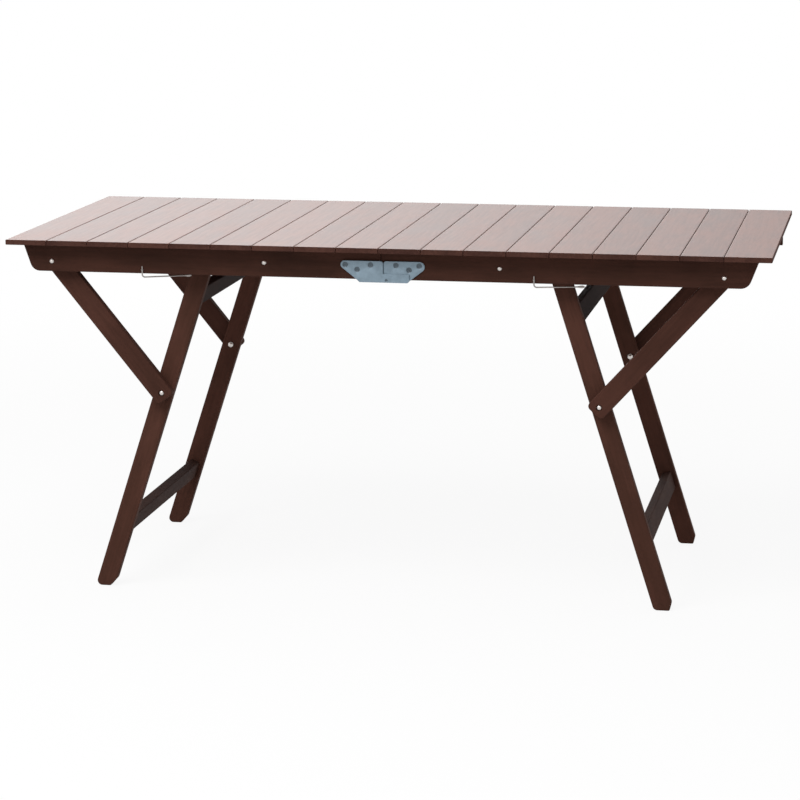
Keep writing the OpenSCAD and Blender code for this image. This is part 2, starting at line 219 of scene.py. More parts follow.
# The floor is white by a share that grows with the distance, and the rest of it takes the table's shadow.
def makeFloor():
    reach = studio["floorSize"]
    mesh = bpy.data.meshes.new("floor")
    mesh.from_pydata([(-reach, -reach, 0), (reach, -reach, 0), (reach, reach, 0), (-reach, reach, 0)],
                     [], [(0, 1, 2, 3)])
    floor = bpy.data.objects.new("floor", mesh)
    bpy.context.scene.collection.objects.link(floor)
    paint = bpy.data.materials.new("paleFloor")
    shader = Shader(paint)
    lit = shader.add("BsdfDiffuse", {}, {"Color": (studio["floorShade"],) * 3 + (1,)})
    glow = shader.add("Emission", {}, {"Color": (1, 1, 1, 1), "Strength": 1.0})
    far = shader.add("VectorMath", {"operation": "LENGTH"}, {0: shader.add("TexCoord", output=3)}, 1)
    share = shader.seen() * shader.ramp(far, *studio["floorReach"], *studio["floorGlow"])
    shader.finish(shader.add("MixShader", {}, {0: share, 1: lit, 2: glow}))
    mesh.materials.append(paint)


makeCamera()
makeLamps()
makeWorld()
makeFloor()
bpy.context.scene.view_settings.view_transform = "Standard"
print("studio ready")


plainWood = {"rough": .75, "gloss": .08, "fibre": .35, "spread": .04, "bump": .3, "cutShade": 1.0}
woods = {
    "frame": plainWood | {"dark": (.034, .0138, .009), "light": (.060, .0238, .016), "rough": .7,
                          "spread": .06},
    "braces": plainWood | {"dark": (.046, .0185, .0125), "light": (.072, .0288, .020)},
    "legs": plainWood | {"dark": (.0535, .022, .0144), "light": (.084, .0338, .0234)},
    # the upper stretchers' darker colours are painted shade: the shadow under the table, painted into the
    # wood
    "upperStretchers": plainWood | {"dark": (.014, .007, .006), "light": (.028, .015, .0125), "rough": .8,
                                    "gloss": .06},
    "lowerStretchers": plainWood | {"dark": (.028, .0125, .0095), "light": (.052, .026, .020), "gloss": .06},
    "top": {"dark": (.115, .043, .031), "light": (.215, .088, .063), "rough": .308, "gloss": .165,
            "fibre": .5, "spread": .10, "bump": .06, "cutShade": .36},
}
sawnEnds = [cadBox[1][1] - inset for inset in (.0014, .0007)]    # beyond this Y the slats' ends took more stain, and beyond this X the outermost ones' sides are darker and rougher
sawnSides = [cadBox[1][0] - inset for inset in (.0010, .0004)]   # and beyond this X the outermost ones
grain = {                                         # scales along and across the grain, and a noise for each
    "fibres": (1, 18, 18), "fibreNoise": (9.0, 5.0, .62, .3),
    "blotches": (1, 2.4, 2.4), "blotchNoise": (7.0, 3.0, .55),
    "pores": (1, 26, 26), "poreNoise": (34.0, 2.0, .5),
    "poreRange": (.62, .7), "poreShare": .3, "poreShade": .45,
    "toneRange": (.32, .68),                      # from all dark to all light
    "bumpDepth": .0004, "roughSpread": .05, "cutRough": .6,
    "toneStep": .618, "shiftStep": (.37, .73, 1.13), "shiftSpan": (1.9, 2.3, 1.7),  # from piece to piece
}
surface = {
    "cloudNoise": (90.0, 4.0, .6), "cloudRange": (.3, .7), "cloudShade": .82,
    "fineNoise": (900.0, 2.0, .5), "bump": .15, "bumpDepth": .0001, "roughSpread": .2,
}
metals = {
    "plate": {"color": (.225, .30, .36), "rough": .5, "metal": .55},
    "bolt": {"color": (.70, .66, .63), "rough": .34, "metal": 1.0},
    "wire": {"color": (.38, .35, .33), "rough": .36, "metal": 1.0},
    # the screw finish is dark as painted shade: it stands for the shade inside the sunk holes of the screws
    # and the rivet
    "screw": {"color": (.085, .115, .14), "rough": .3, "metal": .3},
}


# Stained wood: fibres are noise drawn out along the grain, blotches are slow noise, and pores are the peaks
# of a finer drawn-out noise. turn lays the grain (X) along the piece, and shift gives each piece its own cut.
# Sawn ends and sides have the wood's cutShade as their share of the colour, and are dull.
def woodFinish(name, wood, turn, shift, tone):
    paint = bpy.data.materials.new(name)
    shader = Shader(paint)
    spot = shader.add("Mapping", {}, {"Vector": shader.add("TexCoord", output=3), "Rotation": turn,
                                      "Location": shift})
    fibres = shader.noise(shader.stretched(spot, grain["fibres"]), *grain["fibreNoise"])
    blotches = shader.noise(shader.stretched(spot, grain["blotches"]), *grain["blotchNoise"])
    pores = shader.ramp(shader.noise(shader.stretched(spot, grain["pores"]), *grain["poreNoise"]),
                        *grain["poreRange"])
    mixed = fibres * wood["fibre"] + blotches * (1 - wood["fibre"]) + (tone - .5) * wood["spread"]
    color = shader.blend(shader.ramp(mixed, *grain["toneRange"]), wood["dark"] + (1,), wood["light"] + (1,))
    color = shader.blend(pores * grain["poreShare"], color,
                         tuple(c * grain["poreShade"] for c in wood["dark"]) + (1,))
    x, y = [shader.add("SeparateXYZ", {}, {0: shader.add("TexCoord", output=3)}, axis) for axis in (0, 1)]
    side = shader.ramp(x.math("ABSOLUTE", x, 0), *sawnSides)
    cut = side.math("MAXIMUM", side, shader.ramp(y.math("ABSOLUTE", y, 0), *sawnEnds))
    shade = 1 - cut * (1 - wood["cutShade"])
    cutTint = shader.add("CombineColor", {}, {0: shade, 1: shade, 2: shade})
    color = shader.blend(1.0, color, cutTint, "MULTIPLY")
    bump = shader.add("Bump", {}, {"Strength": wood["bump"], "Distance": grain["bumpDepth"],
                                   "Height": fibres})
    rough = wood["rough"] + (blotches - .5) * grain["roughSpread"] + cut * grain["cutRough"]
    skin = shader.add("BsdfPrincipled", {}, {"Base Color": color, "Roughness": rough,
                                             "Specular IOR Level": wood["gloss"], "Normal": bump})
    shader.finish(skin)
    return paint


# Metal: slow noise darkens the colour and varies the roughness, and fine noise is its bump.
def metalFinish(name, metal):
    paint = bpy.data.materials.new(name)
    shader = Shader(paint)
    place = shader.add("TexCoord", output=3)
    clouds = shader.noise(place, *surface["cloudNoise"])
    fine = shader.noise(place, *surface["fineNoise"])
    low = tuple(c * surface["cloudShade"] for c in metal["color"]) + (1,)
    color = shader.blend(shader.ramp(clouds, *surface["cloudRange"]), low, metal["color"] + (1,))
    bump = shader.add("Bump", {}, {"Strength": surface["bump"], "Distance": surface["bumpDepth"],
                                   "Height": fine})
    rough = metal["rough"] + (clouds - .5) * surface["roughSpread"]
    skin = shader.add("BsdfPrincipled", {}, {"Base Color": color, "Metallic": metal["metal"],
                                             "Roughness": rough, "Normal": bump})
    shader.finish(skin)
    return paint


finishes = {kind: metalFinish(kind, metal) for kind, metal in metals.items()}


# The wood for a CAD node: its tone and shift are steps times its place in the sorted list of nodes.
def woodFor(name, kind, turn):
    count = sorted(frame["nodes"]).index(name)
    shift = tuple(count * step % span for step, span in zip(grain["shiftStep"], grain["shiftSpan"]))
    return woodFinish(name + ".wood", woods[kind], turn, shift, count * grain["toneStep"] % 1)


sameSpot = 1e-6                                   # points closer than this are one
domeMiddle = .02                                  # radians from the axis to a dome's last ring


# Outward normals of a counterclockwise loop, stretched at corners so that an offset keeps its width: the sum
# of the two edge normals, divided by its own dot product with one of them.
def loopNormals(loop):
    ahead = np.roll(loop, -1, 0) - loop
    ahead /= np.linalg.norm(ahead, axis=1, keepdims=True)
    edge = np.stack([ahead[:, 1], -ahead[:, 0]], 1)
    both = edge + np.roll(edge, 1, 0)
    return both / (both * edge).sum(1, keepdims=True)


# A loop of corners (x, z, radius), each turned into the arc that touches both of its edges: the arc's centre
# lies on the bisector at radius / sin(half the corner's angle).
def fillets(corners, steps=6):
    corners = np.asarray(corners, float)
    place, radius = corners[:, :2], corners[:, 2:]
    back, fore = np.roll(place, 1, 0) - place, np.roll(place, -1, 0) - place
    back /= np.linalg.norm(back, axis=1, keepdims=True)
    fore /= np.linalg.norm(fore, axis=1, keepdims=True)
    half = np.arccos((back * fore).sum(1, keepdims=True)) / 2
    middle = back + fore
    centre = place + middle / np.linalg.norm(middle, axis=1, keepdims=True) * radius / np.sin(half)
    start = place + back * radius / np.tan(half) - centre
    end = place + fore * radius / np.tan(half) - centre
    turn = np.arctan2(start[:, 0] * end[:, 1] - start[:, 1] * end[:, 0], (start * end).sum(1))
    angle = np.arctan2(start[:, 1], start[:, 0])[:, None] + turn[:, None] * np.linspace(0, 1, steps + 1)
    loop = (centre[:, None] + radius[:, None] * np.stack([np.cos(angle), np.sin(angle)], -1)).reshape(-1, 2)
    return loop[np.linalg.norm(loop - np.roll(loop, 1, 0), axis=1) > sameSpot]


# Adds a point near both ends of every long run, so that shading stays flat between them.
def withSupports(loop, gap):
    ahead = np.roll(loop, -1, 0) - loop
    length = np.linalg.norm(ahead, axis=1, keepdims=True)
    step = ahead / length * gap
    points = np.stack([loop, loop + step, loop + ahead - step], 1)
    keep = np.repeat(length > gap * 3, 3, 1)
    keep[:, 0] = True
    return points[keep]


# Points at even steps of the turn round a place.
def circle(place, radius, count=40):
    turn = np.arange(count) * 2 * math.pi / count
    return np.stack([place[0] + radius * np.cos(turn), place[1] + radius * np.sin(turn)], 1)


class Shells:                                     # gathers closed shells for one mesh
    def __init__(self):
        self.points, self.faces, self.count = [], [], 0

    # Adds points, and gives the number of the first.
    def put(self, points):
        start = self.count
        self.points.append(np.asarray(points, float).reshape(-1, 3))
        self.count += len(self.points[-1])
        return start

    # A grid of rings: each ring is joined to the next by quads, and each ring closes on itself.
    def rings(self, grid):
        lines, columns = grid.shape[:2]
        start = self.put(grid)
        i, j = np.meshgrid(np.arange(lines - 1), np.arange(columns), indexing="ij")
        below, beside = i + 1, (j + 1) % columns
        quads = np.stack([i * columns + j, below * columns + j, below * columns + beside,
                          i * columns + beside], -1)
        self.faces += (start + quads.reshape(-1, 4)).tolist()
        return start, columns

    # A flat cap: the triangles inside the first loop, in the X and Z of their points, without those whose
    # corners all lie on one of the other loops, which are round holes.
    def cap(self, loops):
        numbers = np.concatenate([start + np.arange(count) for start, count in loops])
        points = np.concatenate(self.points)[numbers]
        first, edges = 0, []
        for start, count in loops:
            ring = first + np.arange(count)
            edges += np.stack([ring, np.roll(ring, -1)], 1).tolist()
            first += count
        flat = [Vector((x, z)) for x, z in points[:, (0, 2)].tolist()]
        found = delaunay_2d_cdt(flat, edges, [], 1, sameSpot / 10)
        corners = np.array([origin[0] if origin else -1 for origin in found[3]])[np.array(found[2])]
        owner = np.repeat(np.arange(len(loops)), [count for start, count in loops])[corners]
        inHole = (owner == owner[:, :1]).all(1) & (owner[:, 0] > 0)
        self.faces += numbers[corners[~inHole]].tolist()

    # One face over a ring.
    def fan(self, start, count):
        self.faces.append(list(range(start, start + count)))


boardRim = {"support": .0006, "run": 1.6}         # flat strips inside an arris, and along its long runs


# A board: its outline in X and Z is carried round the edge, over a quarter-round arris on each face.
# outer and inner are the Y of its faces; a sink is a round recess, its rings given as (radius, depth).
def board(shells, outline, outer, inner, arris=.0015, sinks=()):
    support, way = min(boardRim["support"], arris / 2), 1 if inner > outer else -1
    outline = withSupports(outline, (arris + support) * boardRim["run"])
    quarter = np.radians([0, 22.5, 45, 67.5, 90])
    inset = np.r_[arris + support, arris * (1 - np.sin(quarter)), 0]
    depth = np.r_[0, arris * (1 - np.cos(quarter)), arris + support]
    insets = np.r_[inset, inset[::-1]]
    depths = np.r_[outer + way * depth, inner - way * depth[::-1]]
    flat = outline[None] - loopNormals(outline)[None] * insets[:, None, None]
    grid = np.stack([flat[..., 0], np.broadcast_to(depths[:, None], flat.shape[:2]), flat[..., 1]], -1)
    start, count = shells.rings(grid)
    last = start + (len(insets) - 1) * count
    for face, loop, sign in ((outer, start, way), (inner, last, -way)):
        loops = [(loop, count)]
        for sink in sinks:
            if (sink["face"] == "outer") != (face == outer):
                continue
            holes = np.stack([circle(sink["place"], radius) for radius, down in sink["rings"]])
            y = face + sign * np.array([down for radius, down in sink["rings"]])
            cup = np.stack([holes[..., 0], np.broadcast_to(y[:, None], holes.shape[:2]), holes[..., 1]], -1)
            first, around = shells.rings(cup)
            shells.fan(first + (len(y) - 1) * around, around)
            loops.append((first, around))
        shells.cap(loops)


# A turned piece about the Y direction through place: rings of (radius, height). With flats, a radius reaches
# no further than a hexagon of that width: half the width over the cosine of the turn from its nearest flat.
def turned(shells, place, outward, profile, flats=0.0, count=48):
    turn = np.arange(count) * 2 * math.pi / count
    radius, height = np.array(profile, float).T[:, :, None] * np.ones(count)
    if flats:
        radius = np.minimum(radius, flats / 2 / np.cos((turn + math.pi / 6) % (math.pi / 3) - math.pi / 6))
    y = place[1] + outward * height
    start, around = shells.rings(np.stack([place[0] + radius * np.cos(turn), y,
                                           place[2] + radius * np.sin(turn)], -1))
    shells.fan(start, around)
    shells.fan(start + (len(profile) - 1) * around, around)


# Rings of a domed disc: a run up the rim and then a circle's arc over to the middle. The circle's radius is
# (radius squared + height squared) over twice the height.
def dome(radius, height, rim=0.0, steps=7):
    ball = (radius ** 2 + height ** 2) / (2 * height)
    low = math.asin(min(1.0, radius / ball))
    turn = np.linspace(low, domeMiddle, steps)
    arc = [(ball * math.sin(t), rim + ball * math.cos(t) - ball + height) for t in turn]
    foot = [(radius, 0.0)] if rim else []
    return foot + arc


# A tube: at each point of the path an ellipse stands across the tangent, wide along `across` and thick along
# the cross product of both.
def tube(shells, path, wide, thick, across, count=14):
    path = np.asarray(path, float)
    along = np.gradient(path, axis=0)
    along /= np.linalg.norm(along, axis=1, keepdims=True)
    across = np.broadcast_to(np.asarray(across, float), path.shape)
    up = np.cross(along, across)
    turn = np.arange(count) * 2 * math.pi / count
    side = np.asarray(wide)[:, None, None] * np.cos(turn)[None, :, None] * across[:, None]
    rise = np.asarray(thick)[:, None, None] * np.sin(turn)[None, :, None] * up[:, None]
    start, around = shells.rings(path[:, None] + side + rise)
    shells.fan(start, around)
    shells.fan(start + (len(path) - 1) * around, around)


# Makes the object: doubles merged, faces outward, smooth with sharp edges, on its body in place of nodes.
def makePiece(name, shells, paint, body, nodes, sharp=35.0):
    mesh = bpy.data.meshes.new(name)
    mesh.from_pydata(np.concatenate(shells.points).tolist(), [], shells.faces)
    work = bmesh.new()
    work.from_mesh(mesh)
    bmesh.ops.remove_doubles(work, verts=work.verts, dist=sameSpot)
    bmesh.ops.recalc_face_normals(work, faces=work.faces)
    work.to_mesh(mesh)
    work.free()
    mesh.shade_smooth()
    mesh.set_sharp_from_angle(angle=math.radians(sharp))
    mesh.materials.append(paint)
    piece = bpy.data.objects.new(name, mesh)
    bpy.context.scene.collection.objects.link(piece)
    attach(piece, body)
    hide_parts(*nodes)


outlineLimits = {"digits": 6, "apart": .0003, "bend": .004}


# All points of a node's mesh, one row each.
def cadPoints(name):
    mesh = frame["nodes"][name].data
    flat = np.empty(len(mesh.vertices) * 3, np.float32)
    mesh.vertices.foreach_get("co", flat)
    return flat.reshape(-1, 3).astype(float)


# The node's outline in X and Z: the hull of its points, counterclockwise, without points that lie close
# together and without those where it hardly bends (the sine of the turn).
def cadOutline(name):
    points = np.unique(np.round(cadPoints(name)[:, (0, 2)], outlineLimits["digits"]), axis=0)
    loop = points[convex_hull_2d([Vector(p) for p in points.tolist()])]
    area = (loop[:, 0] * np.roll(loop[:, 1], -1) - loop[:, 1] * np.roll(loop[:, 0], -1)).sum()
    loop = loop if area > 0 else loop[::-1]
    loop = loop[np.linalg.norm(loop - np.roll(loop, 1, 0), axis=1) > outlineLimits["apart"]]
    before, after = loop - np.roll(loop, 1, 0), np.roll(loop, -1, 0) - loop
    turn = before[:, 0] * after[:, 1] - before[:, 1] * after[:, 0]
    bend = turn / np.linalg.norm(before, axis=1) / np.linalg.norm(after, axis=1)
    return loop[bend > outlineLimits["bend"]]


def cadSpan(name):                                # how near and how far the node lies from the middle plane
    y = np.abs(cadPoints(name)[:, 1])
    return y.min(), y.max()


slatShape = {"corner": .0016, "arris": .0007}                    # its long edges, and its ends
boardArris = {"apron": .0018, "brace": .002, "leg": .0019, "stretcher": .0022, "batten": .0015}
recess = {"head": .0060, "headDepth": .0032, "nut": .0073, "nutDepth": .0054, "lip": .0004}
footShape = {"round": .012, "below": .045, "turn": .35}          # corners below this height that turn by more
apronEnd = {"from": .68, "back": .0095, "lean": .002}            # the points beyond this X are drawn back
legTurn = math.radians(17.8)                                     # how far a leg leans from upright
turns = {"across": (0, 0, math.pi / 2), "along": (0, 0, 0)}      # of the wood's grain
stretcherArris = .0004                                           # where a stretcher meets its legs


# A node's wooden piece: its outline, carried between the two Y of each span.
def makeWood(name, outline, spans, arris, paint, body, sinks=()):
    shells = Shells()
    for outer, inner in spans:
        board(shells, outline, outer, inner, arris, sinks)
    makePiece(name + ".board", shells, paint, body, [name])


# A slat fills its node's box, with its four long edges rounded.
def makeSlats():
    for name in sorted(frame["nodes"]):
        if "_slat_" not in name:
            continue
        low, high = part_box(name)
        soft = slatShape["corner"]
        outline = fillets([(low[0], low[2], soft), (high[0], low[2], soft),
                           (high[0], high[2], soft), (low[0], high[2], soft)])
        paint = woodFor(name, "top", turns["across"])
        body = name.split("_")[0] + "_top"
        makeWood(name, outline, [(low[1], high[1])], slatShape["arris"], paint, body)


# The right aprons' ends, drawn back a little: by back, and by lean times how far down the point lies.
def shortened(outline):
    down = (outline[:, 1].max() - outline[:, 1]) / np.ptp(outline[:, 1])
    back = (outline[:, 0] > apronEnd["from"]) * (apronEnd["back"] + apronEnd["lean"] * down)
    return outline - np.stack([back, 0 * back], 1)


# Aprons, battens and guide blocks: the node's outline, carried from its far side to its near side.
def makeTopFrames():
    for half in halves:
        top = half + "_top"
        for row, side in rows.items():
            name = f"{half}_{row}_apron"
            near, far = cadSpan(name)
            outline = cadOutline(name)
            if half == "right":
                outline = shortened(outline)
            paint = woodFor(name, "frame", turns["along"])
            makeWood(name, outline, [(side * far, side * near)], boardArris["apron"], paint, top)
        for kind, turn in (("leg_rest", "across"), ("guide_blocks", "along")):
            name = f"{half}_{kind}"
            near, far = cadSpan(name)
            spans = [(side * far, side * near) for side in rows.values()]
            paint = woodFor(name, "frame", turns[turn])
            makeWood(name, cadOutline(name), spans, boardArris["batten"], paint, top)
        name = f"{half}_centre_batten"
        far = cadSpan(name)[1]
        paint = woodFor(name, "frame", turns["along"])
        makeWood(name, cadOutline(name), [(-far, far)], boardArris["batten"], paint, top)


# A leg's outline with the corners of its foot rounded, where the edges turn by more than a little.
def softFoot(outline):
    before, after = outline - np.roll(outline, 1, 0), np.roll(outline, -1, 0) - outline
    turn = np.arctan2(before[:, 0] * after[:, 1] - before[:, 1] * after[:, 0], (before * after).sum(1))
    radius = footShape["round"] * ((outline[:, 1] < footShape["below"]) & (turn > footShape["turn"]))
    return fillets(np.c_[outline, radius])


# A round recess for a bolt's head or nut, with a small bevel at its mouth.
def recessAt(face, joint, kind):
    radius, lip = recess[kind], recess["lip"]
    return {"face": face, "place": (joint[0], joint[2]),
            "rings": [(radius + lip, 0), (radius, lip), (radius, recess[kind + "Depth"])]}


# Braces slope from joint to joint, and legs lean. Stretchers run between the legs' inner faces.
def makeLegFrames():
    for half, way in halves.items():
        high, low = joints[half + "_brace_swing"], joints[half + "_leg_swing"]
        slope = math.atan2(high[2] - low[2], abs(high[0] - low[0]))
        for row, side in rows.items():
            name = f"{half}_{row}_brace"
            near, far = cadSpan(name)
            sinks = [recessAt("outer", low, "head"), recessAt("inner", high, "nut")]
            paint = woodFor(name, "braces", (0, way * slope, 0))
            makeWood(name, cadOutline(name), [(side * far, side * near)], boardArris["brace"], paint,
                     half + "_braces", sinks=sinks)
            name = f"{half}_{row}_leg"
            near, far = cadSpan(name)
            paint = woodFor(name, "legs", (0, math.pi / 2 + way * legTurn, 0))
            makeWood(name, softFoot(cadOutline(name)), [(side * far, side * near)], boardArris["leg"], paint,
                     half + "_legs")
        legNear = cadSpan(half + "_front_leg")[0]
        for place in ("upper", "lower"):
            name = f"{half}_{place}_stretcher"
            section = cadOutline(name)
            outline = fillets(np.c_[section, np.full(len(section), boardArris["stretcher"])])
            # the upper stretchers take a darker wood, which is painted shade of the table above them
            paint = woodFor(name, place + "Stretchers", turns["across"])
            makeWood(name, outline, [(-legNear, legNear)], stretcherArris, paint, half + "_legs")


makeSlats()
makeTopFrames()
makeLegFrames()
print("boards made")


# Lengths in metres. Places and heights are counted from the pin, to the right and up.
hinge = {
    "leaf": .0025, "gap": .0002, "arris": .0007,  # the plates' thickness, the space between them, their edges
    "slope": math.radians(38),                    # of the plates' ends
    "leftReach": .1056, "rightReach": .0942,      # how far the ends reach at the top
    "top": .0373, "foot": .00025,                 # heights of the packing and the leaf
    "toe": -.0006, "bottom": -.0046,              # heights of the cover's outer ends and of its lower edge
    "toeRun": .004,                               # how far the lower edge stands back from those ends
    "coverSeam": -.00655, "leafSeam": -.00605,    # where the plates meet above the pin
    "tongueTop": .0124, "tongueRake": .0006,      # the cover's tongue to the right
    "seamRound": .005, "leftRound": .008, "rightRound": .010,
    "lowRound": .004, "toeRound": .002, "tipRound": .0018,
    "eye": .0043, "eyeMiddle": .001, "eyeDrop": .0001,
    "pin": .0025, "pinDepth": .005, "neck": .0006,
    "rivet": .5,                                  # the rivet's head is this share of a screw's
    "headTurn": (.5, 1.9),                        # the first slot's turn, and from each to the next
    "leftSinks": [(-.0809, .0293), (-.0575, .0202), (-.031, .0296)],
    "rightSinks": [(.0184, .0294), (.0444, .0206), (.0642, .0294)],
}
screw = {
    "rim": .0055, "floor": .0054, "depth": .0024, "lip": .0003, "lipDepth": .0002, "foot": .0002,  # its hole
    "head": .0053, "seat": .0005, "dish": .0014, "slot": .0004, "slit": .0005, "clear": .0001,
    "lines": 16, "slitWall": 1.3,                 # grid lines over the head, and where the slot's walls end
    "sharp": 30,                                  # edges that turn by more degrees stay sharp
}


# The hinge's plates: a packing and a cover on the left, and the leaf on the right. Their ends rise to the top
# at the same slope, so X at a height is the reach less the drop from the top over the slope's tangent.
def hingeOutlines():
    def slopeX(reach, z):
        return reach - (hinge["top"] - z) / math.tan(hinge["slope"])

    left, right, top, foot = hinge["leftReach"], hinge["rightReach"], hinge["top"], hinge["foot"]
    seam, leafSeam, toe, low = hinge["coverSeam"], hinge["leafSeam"], hinge["toe"], hinge["bottom"]
    seamRound, leftRound = hinge["seamRound"], hinge["leftRound"]
    packing = [(seam, top, seamRound), (-left, top, leftRound), (-slopeX(left, foot), foot, 0),
               (seam, foot, 0)]
    cover = [(seam, top, seamRound), (-left, top, leftRound), (-slopeX(left, toe), toe, hinge["toeRound"]),
             (hinge["toeRun"] - slopeX(left, toe), low, hinge["toeRound"]),
             (slopeX(right, toe) - hinge["toeRun"], low, hinge["lowRound"]),
             (slopeX(right, toe), toe, hinge["tipRound"]),
             (slopeX(right, toe) - hinge["tongueRake"], hinge["tongueTop"], 0), (seam, hinge["tongueTop"], 0)]
    leaf = [(leafSeam, foot, 0), (slopeX(right, foot), foot, 0), (right, top, hinge["rightRound"]),
            (leafSeam, top, seamRound)]
    return {"packing": fillets(packing), "cover": fillets(cover), "leaf": fillets(leaf)}


# A hole for a screw head: rings from the plate's face down the wall to a floor.
def sinkAt(place, size=1.0):
    rings = [(screw["rim"] + screw["lip"], 0), (screw["rim"], screw["lipDepth"]),
             (screw["floor"], screw["depth"] - screw["clear"]),
             (screw["floor"] - screw["foot"], screw["depth"])]
    return {"face": "outer", "place": place, "rings": [(radius * size, depth) for radius, depth in rings]}


# A screw head: a dish with a straight slot, over a square grid that is bent onto the disc: x is u times the
# root of 1 - v squared / 2, and z the same the other way round. A wall and a back close it.
def slottedHead(shells, place, outward, turn):
    edge = screw["slit"] / screw["head"]
    walls = np.array([-screw["slitWall"], -1, 1, screw["slitWall"]]) * edge
    line = np.sort(np.r_[np.linspace(-1, 1, screw["lines"]), walls])
    u, v = np.meshgrid(line, line, indexing="ij")
    x, z = u * np.sqrt(1 - v ** 2 / 2), v * np.sqrt(1 - u ** 2 / 2)
    inSlot = np.abs(v) < edge * (1 + screw["slitWall"]) / 2
    height = -screw["seat"] - screw["dish"] * (1 - x ** 2 - z ** 2) - screw["slot"] * inSlot
    c, s = math.cos(turn), math.sin(turn)
    front = np.stack([place[0] + (x * c - z * s) * screw["head"], place[1] + outward * height,
                      place[2] + (x * s + z * c) * screw["head"]], -1)
    start, lines = shells.put(front), len(line)
    i, j = np.meshgrid(np.arange(lines - 1), np.arange(lines - 1), indexing="ij")
    corner = start + i * lines + j
    quads = np.stack([corner, corner + 1, corner + lines + 1, corner + lines], -1)
    shells.faces += quads.reshape(-1, 4).tolist()
    rim = np.r_[np.arange(lines), lines * np.arange(1, lines) + lines - 1,        # once round the grid
                lines * (lines - 1) + np.arange(lines - 2, -1, -1), lines * np.arange(lines - 2, 0, -1)]
    back = front.reshape(-1, 3)[rim].copy()
    back[:, 1] = place[1] - outward * (screw["depth"] + screw["clear"])
    base, here = shells.put(back), np.arange(len(rim))
    after = np.roll(here, -1)
    shells.faces += np.stack([start + rim, start + rim[after], base + after, base + here], -1).tolist()
    shells.fan(base, len(rim))


# The hinge's rivet: a pin, a neck, and a dish like a screw's.
def rivet(shells, place, side):
    size = screw["head"] * hinge["rivet"]
    dish = [(radius, -screw["seat"] - down) for radius, down in dome(size, screw["dish"] * hinge["rivet"])]
    rings = [(hinge["pin"], -hinge["pinDepth"]), (hinge["pin"], -screw["depth"] - hinge["neck"]),
             (size, -screw["depth"] - screw["clear"])]
    turned(shells, place, side, rings + dish)


# From the apron outward: the right leaf and its eye beside the left packing, and the left cover over the eye.
def makeHinges():
    pin = joints["centre_fold"]
    shapes = {name: loop + (pin[0], pin[2]) for name, loop in hingeOutlines().items()}
    spots = {half: [(pin[0] + x, pin[2] + z) for x, z in hinge[half + "Sinks"]] for half in halves}
    heads = {half: Shells() for half in halves}
    rivets = Shells()
    for row, side in rows.items():
        wood = cadSpan(f"left_{row}_apron")[1]
        leaf = wood + hinge["leaf"]
        cover = leaf + hinge["gap"]
        face = cover + hinge["leaf"]
        name = f"right_{row}_hinge_leaf"
        shells = Shells()
        sinks = [sinkAt(spot) for spot in spots["right"]]
        board(shells, shapes["leaf"], side * leaf, side * wood, hinge["arris"], sinks)
        eyeTop = hinge["leaf"] - hinge["eyeDrop"]
        turned(shells, (pin[0], side * wood, pin[2]), side,
               [(hinge["eye"], 0), (hinge["eye"], eyeTop), (hinge["eyeMiddle"], eyeTop)])
        makePiece(name + ".plate", shells, finishes["plate"], "right_top", [name])
        name = f"left_{row}_hinge_leaf"
        shells = Shells()
        sinks = [sinkAt(spot) for spot in spots["left"]] + [sinkAt((pin[0], pin[2]), hinge["rivet"])]
        board(shells, shapes["cover"], side * face, side * cover, hinge["arris"], sinks)
        board(shells, shapes["packing"], side * cover, side * wood, hinge["arris"])
        makePiece(name + ".plate", shells, finishes["plate"], "left_top", [name])
        for half, front in (("left", face), ("right", leaf)):
            for count, (x, z) in enumerate(spots[half]):
                turn = hinge["headTurn"][0] + count * hinge["headTurn"][1]
                slottedHead(heads[half], (x, side * front, z), side, turn)
        rivet(rivets, (pin[0], side * face, pin[2]), side)
    # the heads and rivets take the screw finish, whose dark colour is painted shade of their holes
    for half in halves:
        name = half + "_hinge_screws"
        makePiece(name + ".heads", heads[half], finishes["screw"], half + "_top", [name],
                  screw["sharp"])
    makePiece("hinge_pins.rivets", rivets, finishes["screw"], "left_top", ["hinge_pins"])


makeHinges()
print("hinges made")


bolt = {
    "head": .0045, "legHead": .0053, "rise": .003, "rim": .0005, "steps": 9,
    "washer": .009, "washerFoot": .00005, "washerRise": .0009,
    "shank": .004, "nut": .0107, "nutRise": .005, "clear": .0002,
    "hexRings": [(1.16, .0007), (1.09, .0003), (.98, .0001)],  # share of half the nut, drop below its face
    "endRings": [(.0004, .0001), (0, .0004), (-.0001, .0003), (-.0006, 0)],  # more than the shank, same drop
    "endMiddle": .0005,
    "capRings": [(1.16, .42), (1.06, .52), (.94, .54)],        # shares of half the nut and of its height
    "capDome": (.93, .46, .54),                                # radius, height and foot, as the same shares
}


def boltHead(shells, place, side, radius):        # a dome on a low rim
    turned(shells, place, side, dome(radius, bolt["rise"] - bolt["rim"], bolt["rim"], bolt["steps"]))


def washer(shells, place, side):                  # a disc, a hair off the wood
    turned(shells, place, side, [(bolt["washer"], bolt["washerFoot"]), (bolt["washer"], bolt["washerRise"])])


# A hexagonal nut with a chamfer. The bolt's end shows in the middle of its face.
def hexNut(shells, place, side):
    half, rise = bolt["nut"] / 2, bolt["nutRise"]
    rings = [(half * share, rise - drop) for share, drop in bolt["hexRings"]]
    rings += [(bolt["shank"] + more, rise - drop) for more, drop in bolt["endRings"]]
    turned(shells, place, side, [(rings[0][0], 0)] + rings + [(bolt["endMiddle"], rise)], bolt["nut"])


# A cap nut: a low hexagon that carries a dome.
def capNut(shells, place, side):
    half, rise = bolt["nut"] / 2, bolt["nutRise"]
    radius, height, foot = bolt["capDome"]
    rings = [(half * share, rise * high) for share, high in bolt["capRings"]]
    top = dome(half * radius, rise * height, rise * foot)[1:]
    turned(shells, place, side, [(rings[0][0], 0)] + rings + top, bolt["nut"])


